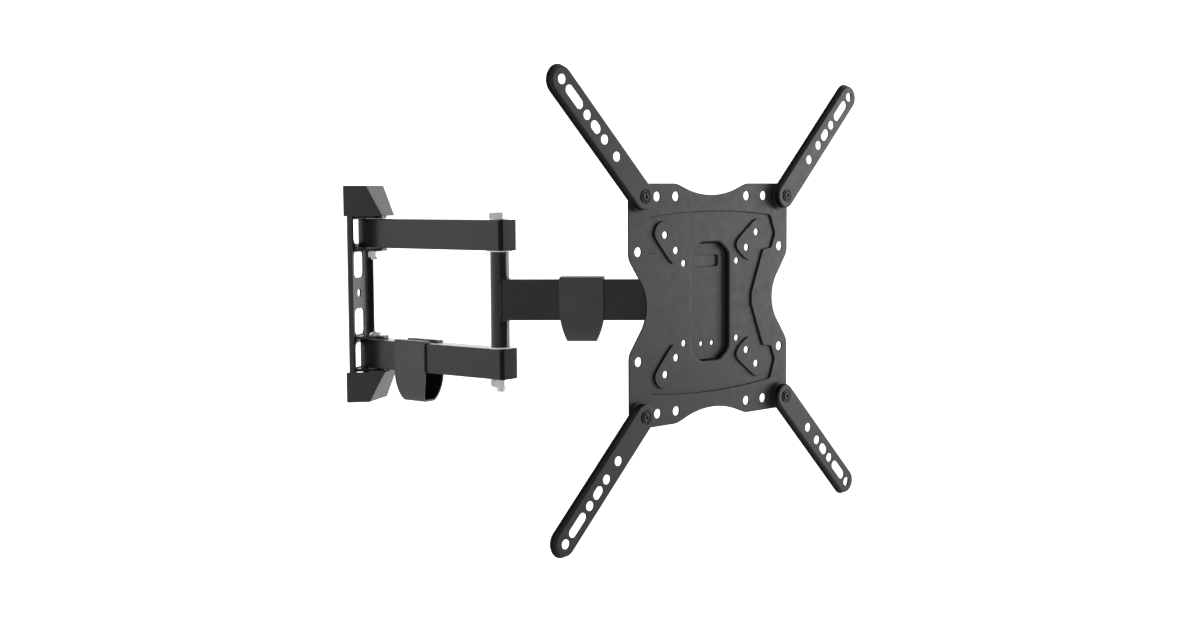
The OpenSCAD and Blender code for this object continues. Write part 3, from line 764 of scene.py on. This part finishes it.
class ForearmOperator(bpy.types.Operator):
    """Gives the forearm tube and head barrel their coat, and lays the weld beads at both ends"""
    bl_idname = "wallmount.forearm"
    bl_label = "Forearm"

    def execute(self, context):
        keep_node("forearm_tube", "arm_paint", 0.3)
        keep_node("head_barrel", "arm_paint", 0.3)
        beads = bmesh.new()
        run = (HEAD - ELBOW).length / MM
        half_height, half_width, size = 19.9, 9.2, sizes().weld / MM * 0.8
        for centre, radius, sign in ((0, 9.3, -1), (-run, 12, 1)):
            for side in (-1, 1):
                x = side * min(half_width, radius * 0.97)
                y = centre + sign * math.sqrt(max(0.1, radius ** 2 - x ** 2))
                bead(beads, [(x, y, -18 + 1.8 * i) for i in range(21)], size, FOREARM)
            for z in (-half_height, half_height):
                path = []
                for degrees in range(-84, 85, 12):
                    x = 9 * math.sin(math.radians(degrees))
                    path.append((x, centre + sign * (math.sqrt(radius ** 2 - x ** 2) + 0.2), z))
                bead(beads, path, size, FOREARM)
        new_piece("forearm_welds", beads, "forearm", finish_of("arm_paint"))
        return {"FINISHED"}


def clip_mesh(tube_thickness, tube_height, height, length, wall, place):
    """A moulded channel that hooks over a tube and hangs open below it, as a bmesh without thickness."""
    gap, corner, hook, belly_steps = 0.1, 2.4, 7, 14
    half_tube = tube_thickness / 2
    top = tube_height / 2 + gap + wall
    bottom = top - height
    side = half_tube + gap + wall
    start = min(top - 36, -tube_height / 2 - 0.5)
    taper = top - 34
    profile = [(half_tube - hook, top)]
    profile += [(half_tube - 6 + 1.2 * i, top) for i in range(int((side - 2.6 - half_tube + 6) / 1.2) + 1)]
    profile += arc((side - corner, top - corner), corner, 90, 0, 5)
    profile += [(side, top - corner - (top - corner - start) * i / 8) for i in range(1, 9)]
    for i in range(1, belly_steps + 1):
        a = math.radians(90 * i / belly_steps)
        profile.append((side - (half_tube - 3.5) * (1 - math.cos(a)), start - (start - bottom) * math.sin(a)))
    profile.append((0, bottom))
    profile += [(-x, z) for x, z in reversed(profile[:-1])]
    columns = [-1, -0.97, -0.8, -0.4, 0, 0.4, 0.8, 0.97, 1]
    bm = bmesh.new()
    rows = []
    for x, z in profile:
        half = length / 2 - 7 * max(0, (taper - z) / (taper - bottom)) ** 1.7
        rows.append([bm.verts.new(place @ (Vector((x, half * c, z)) * MM)) for c in columns])
    for a, b in zip(rows, rows[1:]):
        for i in range(len(columns) - 1):
            bm.faces.new((a[i], a[i + 1], b[i + 1], b[i]))
    return bm


class CableClipsOperator(bpy.types.Operator):
    """Makes the two moulded cable clips"""
    bl_idname = "wallmount.cable_clips"
    bl_label = "Cable clips"

    def execute(self, context):
        wall = sizes().clip_wall / MM
        for node, body, tube, place, thickness, tube_height in (
                ("lower_cable_clip", "first_arms", "lower_arm_tube", ARM, 24, 30),
                ("forearm_cable_clip", "forearm", "forearm_tube", FOREARM, 20, 40)):
            low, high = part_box(node)
            tube_low, tube_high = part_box(tube)
            start, end = extent(node, place, 1)
            middle = Vector((0, (start + end) / 2, (tube_low.z + tube_high.z) / 2))
            bm = clip_mesh(thickness, tube_height, (high.z - low.z) / MM, (end - start) / MM, wall,
                           place @ Matrix.Translation(middle))
            bmesh.ops.recalc_face_normals(bm, faces=bm.faces)
            inverse = place.inverted()
            face = max(bm.faces, key=lambda f: (inverse @ f.calc_center_median()).x)
            if (inverse.to_3x3() @ face.normal).x < 0:
                bmesh.ops.reverse_faces(bm, faces=bm.faces)
            piece = new_piece(node + "_moulding", bm, body, finish_of("clip_plastic"), [node])
            # The clips' inner sides take the second material, a near-black painted shade.
            piece.data.materials.append(finish_of("painted_shade_lining"))
            thickened(piece, wall, painted_shade_lining=1)
            rounded(piece, 0.45, 3, 50)
        return {"FINISHED"}


class HeadOperator(bpy.types.Operator):
    """Gives the swivel and tilt brackets their coat and makes their bolts and nuts"""
    bl_idname = "wallmount.head"
    bl_label = "Head"

    def execute(self, context):
        keep_node("swivel_bracket", "arm_paint")
        # Plate paint gives the bracket, seen through the plate's window, painted shade on its walls and in its seams.
        keep_node("tilt_bracket", "plate_paint")
        keep_node("swivel_washers", "white_nylon", 0.1)
        keep_node("tilt_washers", "white_nylon", 0.1)
        upright = axes(Vector((HEAD.x, HEAD.y, 0)), ACROSS, UP.cross(ACROSS), UP)
        level = axes(TILT, -UP, UP.cross(ACROSS), ACROSS)
        for bolt, nut, place, size, body in (("swivel_bolt", "swivel_nut", upright, M10, "swivel_head"),
                                             ("tilt_bolt", "tilt_nut", level, M8, "tilt_head")):
            low, high = (end / MM for end in extent(bolt, place))
            nut_low, nut_high = (end / MM for end in extent(nut, place))
            head_low = high - size.head
            bm = hexagon(size.across_flats, head_low, high, place)
            merge(bm, lathe([(0, nut_low), (size.radius, nut_low), (size.radius, head_low + 0.2),
                             (0, head_low + 0.2)], 32, place))
            thread(size.radius, size.pitch, low, nut_low + 0.5, place, bm)
            crisp(new_piece(bolt + "_hex", bm, body, finish_of("zinc"), [bolt]))
            bm = hexagon(size.across_flats, nut_low, nut_high, place, low_chamfer=True)
            crisp(new_piece(nut + "_hex", bm, body, finish_of("zinc"), [nut]))
        return {"FINISHED"}


class TvPlateOperator(bpy.types.Operator):
    """Presses the TV plate: notched outline, shallow panel, four raised pads, deep centre channel and its holes"""
    bl_idname = "wallmount.tv_plate"
    bl_label = "TV plate"

    def execute(self, context):
        half, corner, notch_depth, notch = 112, 6, 23, 37.4
        bow, bow_depth, bow_sweep = 107.7, 10.8, 22
        panel_height, channel_floor = -1.8, -7.0
        quarter = arc((half - notch_depth + notch, 0), notch, 180, 139.5, 9)
        quarter += [(109.2, 39.6), (111.2, 43.2), (112, 47.2)]
        quarter += arc((half - corner, half - corner), corner, 0, 90, 8)
        quarter += [(52, half), (48.3, half - 0.4), (44.5, half - 1.5)]
        for i in range(13):
            a = math.radians(270 + bow_sweep * (1 - i / 12))
            quarter.append((bow * math.cos(a), half - bow_depth + bow + bow * math.sin(a)))
        outline = four_ways(quarter)
        quarter = [(55.5, 0), (75, 46.6), (76.3, 47.6), (86.5, 48.7), (88, 49.8), (93, 61.5), (93, 63.6), (87, 79.2),
                   (84.5, 81.3)]
        quarter += [(84 * (1 - i / 8), 81.3 + 4.7 * (1 - (1 - i / 8) ** 2)) for i in range(1, 9)]
        panel = soften(four_ways(quarter), 0.12)
        pad = soften([(55, 37.2), (76.5, 61), (78.6, 66), (77, 71.5), (72.5, 76), (67, 77.6), (62, 76.4), (41.5, 61.5),
                      (36.8, 57.5), (35, 53.5), (36.2, 49.5), (41, 44.5), (48.5, 39.5)], 0.2)
        channel = soften(four_ways([(26, 45), (22, 49.5), (13, 56)]), 0.08)
        window = soften([(-16, 33), (14, 33), (16, 35), (16, 44), (-16, 44)], 0.1)
        loops = lipped(outline, 0, hole=False) + stepped(panel, 0, panel_height)
        holes = [window]
        for x, y in CORNERS.values():
            loops += stepped([(x * a, y * b) for a, b in pad], panel_height, 0)
            for (a, b), radius, height in (((100, 50), TV_HOLE, 0), ((50, 100), TV_HOLE, 0), ((75, 100), TV_HOLE, 0),
                                           ((CORNER_REACH, CORNER_REACH), PIVOT_HOLE, 0), ((50, 50), 3.2, 0),
                                           ((64.6, 64.6), 3.2, 0), ((37.5, 37.5), 2.8, panel_height)):
                hole = circle((x * a, y * b), radius)
                loops += lipped(hole, height)
                holes.append(hole)
        for x in (-7.6, 7.6):
            hole = circle((x, -40.5), 2.1)
            loops += lipped(hole, channel_floor)
            holes.append(hole)
        loops += lipped(window, channel_floor)
        for out, height in ((2.2, panel_height), (1.5, -1.92), (0.9, -2.25), (0.45, -2.75), (0.15, -3.4),
                            (0.02, -4.2), (-0.3, -5.9), (-0.5, -6.4), (-0.85, -6.78), (-1.3, -6.95),
                            (-1.8, channel_floor)):
            loops.append((grown(channel, out), height, True))
        bm = pressed_sheet(loops, outline, holes, onto(PLATE))
        piece = new_piece("tv_plate_pressing", bm, "tilt_head", finish_of("plate_paint"), ["tv_plate"])
        thickened(piece, sizes().sheet / MM)
        levelled(piece)
        return {"FINISHED"}


class ExtensionArmsOperator(bpy.types.Operator):
    """Presses the four extension arms, each with a folded rim, round holes and slots"""
    bl_idname = "wallmount.extension_arms"
    bl_label = "Extension arms"

    def execute(self, context):
        back, face, sheet, recess = 2.3, 9.3, 1.4, 0.8
        half_width, end, end_steps, bend_steps = 14, 140.42, 24, 7
        bend, lip = sizes().bend / MM, sizes().lip / MM
        edge = stadium(0, end, half_width, end_steps)
        pivot_hole = circle((0, 0), PIVOT_HOLE)
        holes = [circle((d, 0), TV_HOLE) for d in (50, 70.71, 100, 141.42)] + [pivot_hole]
        holes += [stadium(middle - length / 2 + TV_HOLE, middle + length / 2 - TV_HOLE, TV_HOLE, 12)
                  for middle, length in ((85.6, 12.7), (121, 25))]
        rim = [(inset, back + sheet + up) for inset, up in (
            (0, -0.25), (0.25, 0), (lip - 0.3, 0), (lip - 0.05, 0.12), (lip + 0.06, 0.45), (lip + 0.1, 1.2))]
        for k in range(bend_steps + 1):
            a = math.radians(90 * k / bend_steps)
            rim.append((lip + 0.2 + bend * (1 - math.cos(a)), face - bend + bend * math.sin(a)))
        loops = [(stadium(0, end, half_width - inset, end_steps), height, True) for inset, height in rim]
        loops += [(circle((0, 0), radius, 40), face - down, True) for radius, down in (
            (6.9, 0), (6.65, 0.1), (6.5, 0.45), (6.4, 0.75), (5.5, recess))]
        for hole in holes:
            loops += lipped(hole, face - recess if hole is pivot_hole else face)
        for name, (x, y) in CORNERS.items():
            place = corner_place(name) @ Matrix.Rotation(math.atan2(y, x), 4, "Z")
            bm = pressed_sheet(loops, edge, holes, onto(place))
            piece = new_piece(f"extension_arm_{name}_pressing", bm, "arm_" + name,
                              finish_of("rim_paint"), ["extension_arm_" + name])
            thickened(piece, sheet)
            crisp(piece)
        return {"FINISHED"}


class CornerPivotsOperator(bpy.types.Operator):
    """Gives the corner screws, spacers and nuts their finish"""
    bl_idname = "wallmount.corner_pivots"
    bl_label = "Corner pivots"

    def execute(self, context):
        shank, collar, steps, head_drop = 3, 5.4, 40, 0.7
        rim = ((collar, -1.9), (collar - 0.01, -1.1), (5.15, -0.8), (4.6, -0.72), (4.3, -0.95), (4.1, -1.3),
               (3.95, -1.25), (3.7, -0.6), (3.3, -0.22), (2.9, -0.05))
        arm, half, turn = 2.4, 0.6, math.radians(20)
        cross = [(a * math.cos(turn) - b * math.sin(turn), a * math.sin(turn) + b * math.cos(turn)) for a, b in (
            (arm, -half), (arm, half), (half, half), (half, arm), (-half, arm), (-half, half),
            (-arm, half), (-arm, -half), (-half, -half), (-half, -arm), (half, -arm), (half, -half))]
        for name in CORNERS:
            node, place = "corner_screw_" + name, corner_place(name)
            low, top = (end / MM for end in extent(node, place))
            top -= head_drop
            loops = [(circle((0, 0), radius, steps), top + up, True) for radius, up in rim]
            loops += [(cross, top, True), (grown(cross, -0.12), top - 1.0, True)]
            head = pressed_sheet(loops, loops[0][0], [], onto(place))
            merge(head, lathe([(0, low), (shank - 0.3, low), (shank, low + 0.4), (shank, top - 1.9),
                               (collar, top - 1.9)], steps, place))
            levelled(new_piece(f"corner_screw_{name}_cross", head, "tilt_head",
                               finish_of("black_screw"), [node]))
            keep_node("corner_spacer_" + name, "black_nylon", 0.3)
            keep_node("corner_nut_" + name, "black_screw", 0.3)
        return {"FINISHED"}


def studio_world():
    """A white surround that shines most from the far side, with a dark card for the rounded edges to reflect."""
    world = bpy.data.worlds.new("white studio")
    world.use_nodes = True
    tree = world.node_tree
    parts = tree.nodes.new("ShaderNodeSeparateXYZ")
    tree.links.new(tree.nodes.new("ShaderNodeTexCoord").outputs["Generated"], parts.inputs["Vector"])

    def calculate(operation, a, b):
        node = tree.nodes.new("ShaderNodeMath")
        node.operation = operation
        for socket, value in zip(node.inputs, (a, b)):
            if isinstance(value, bpy.types.NodeSocket):
                tree.links.new(value, socket)
            else:
                socket.default_value = value
        return node.outputs["Value"]

    ahead = calculate("POWER", spread(tree, parts.outputs["X"], 0, 1, -1, 1), 2.6)
    ahead = calculate("ADD", calculate("MULTIPLY", ahead, 1.55), 0.56)
    across = spread(tree, parts.outputs["Y"], 0.4, 1.15, -1, 1)
    height = calculate("POWER", calculate("ABSOLUTE", parts.outputs["Z"], 0), 2.0)
    level = calculate("SUBTRACT", 1.0, calculate("MULTIPLY", height, 0.6))
    card = tree.nodes.new("ShaderNodeVectorMath")
    card.operation = "DOT_PRODUCT"
    card.inputs[1].default_value = (-0.75, -0.66, 0)
    tree.links.new(parts.inputs["Vector"].links[0].from_socket, card.inputs[0])
    level = calculate("MULTIPLY", level, spread(tree, card.outputs["Value"], 1, 0.15, 0.87, 0.97))
    strength = calculate("MULTIPLY", calculate("MULTIPLY", ahead, across), level)
    seen = tree.nodes.new("ShaderNodeLightPath").outputs["Is Camera Ray"]
    tree.links.new(calculate("MAXIMUM", strength, seen), tree.nodes["Background"].inputs["Strength"])
    tree.nodes["Background"].inputs["Color"].default_value = (1, 1, 1, 1)
    return world


class StageOperator(bpy.types.Operator):
    """Lays the pale floor and sets the soft lights and the camera"""
    bl_idname = "wallmount.stage"
    bl_label = "Stage"

    def execute(self, context):
        scene = context.scene
        scene.view_settings.view_transform = "Standard"
        floor_radius, floor_height = 2.6, -1.2
        mesh = bpy.data.meshes.new("floor")
        bm = bmesh.new()
        bmesh.ops.create_circle(bm, cap_ends=True, segments=96, radius=floor_radius)
        bm.to_mesh(mesh)
        bm.free()
        floor = bpy.data.objects.new("floor", mesh)
        floor.location.z = floor_height
        scene.collection.objects.link(floor)
        material, tree, shader, place = finish_base("pale floor")
        shade = blend_colours(tree, grain(tree, place, 3), (0.86, 0.86, 0.86), (0.89, 0.89, 0.89))
        tree.links.new(shade, shader.inputs["Base Color"])
        shader.inputs["Roughness"].default_value = 0.9
        reach_out = tree.nodes.new("ShaderNodeVectorMath")
        reach_out.operation = "LENGTH"
        tree.links.new(place, reach_out.inputs[0])
        tree.links.new(spread(tree, reach_out.outputs["Value"], 1, 0, 1.4, 2.5), shader.inputs["Alpha"])
        floor.data.materials.append(material)
        scene.world = studio_world()
        for name, place, aim, width, power in (
                ("front softbox", (0.68, -1.6, 0.08), (0, -0.4, 0), 0.8, 11),
                ("left softbox", (-1.1, 1.9, 0.3), (-0.05, -0.15, 0), 1.3, 1)):
            lamp = bpy.data.lights.new(name, "AREA")
            lamp.size = width
            lamp.energy = power
            lamp.specular_factor = 0.15
            light = bpy.data.objects.new(name, lamp)
            light.location = place
            light.rotation_euler = (Vector(aim) - Vector(place)).to_track_quat("-Z", "Y").to_euler()
            light.visible_camera = False
            scene.collection.objects.link(light)
        lens = bpy.data.cameras.new("camera")
        lens.sensor_width = 36
        lens.lens = 45.42
        lens.clip_start, lens.clip_end = 0.05, 200
        camera = bpy.data.objects.new("camera", lens)
        eye, pitch, roll = Vector((-1.473, -0.659, 0.1045)), math.radians(4.61), math.radians(0.344)
        ahead = Vector((0.9659 * math.cos(pitch), 0.2588 * math.cos(pitch), -math.sin(pitch))).normalized()
        right = ahead.cross(UP).normalized()
        over = right.cross(ahead)
        camera.matrix_world = axes(eye, right * math.cos(roll) - over * math.sin(roll),
                                   over * math.cos(roll) + right * math.sin(roll), -ahead)
        scene.collection.objects.link(camera)
        scene.camera = camera
        return {"FINISHED"}


class WallMountPanel(bpy.types.Panel):
    """Lists the wall mount's settings and its makers"""
    bl_idname = "VIEW3D_PT_wall_mount"
    bl_label = "Wall Mount"
    bl_space_type = "VIEW_3D"
    bl_region_type = "UI"
    bl_category = "Wall Mount"

    def draw(self, context):
        for group in (context.scene.mount_sizes, context.scene.mount_finishes):
            box = self.layout.box()
            for name in group.__annotations__:
                box.prop(group, name)
        column = self.layout.column(align=True)
        for operator in OPERATORS:
            column.operator(operator.bl_idname)


OPERATORS = (StageOperator, WallBracketOperator, WallPivotsOperator, CoversOperator, FirstArmsOperator,
             ElbowOperator, ForearmOperator, CableClipsOperator, HeadOperator, TvPlateOperator,
             ExtensionArmsOperator, CornerPivotsOperator)
CLASSES = (MountSizes, MountFinishes, *OPERATORS, WallMountPanel)


def register():
    for cls in CLASSES:
        bpy.utils.register_class(cls)
    bpy.types.Scene.mount_sizes = PointerProperty(type=MountSizes)
    bpy.types.Scene.mount_finishes = PointerProperty(type=MountFinishes)


def unregister():
    del bpy.types.Scene.mount_finishes
    del bpy.types.Scene.mount_sizes
    for cls in reversed(CLASSES):
        bpy.utils.unregister_class(cls)


def main():
    register()
    for operator in OPERATORS:
        group, name = operator.bl_idname.split(".")
        getattr(getattr(bpy.ops, group), name)()


if __name__ == "__main__":
    main()
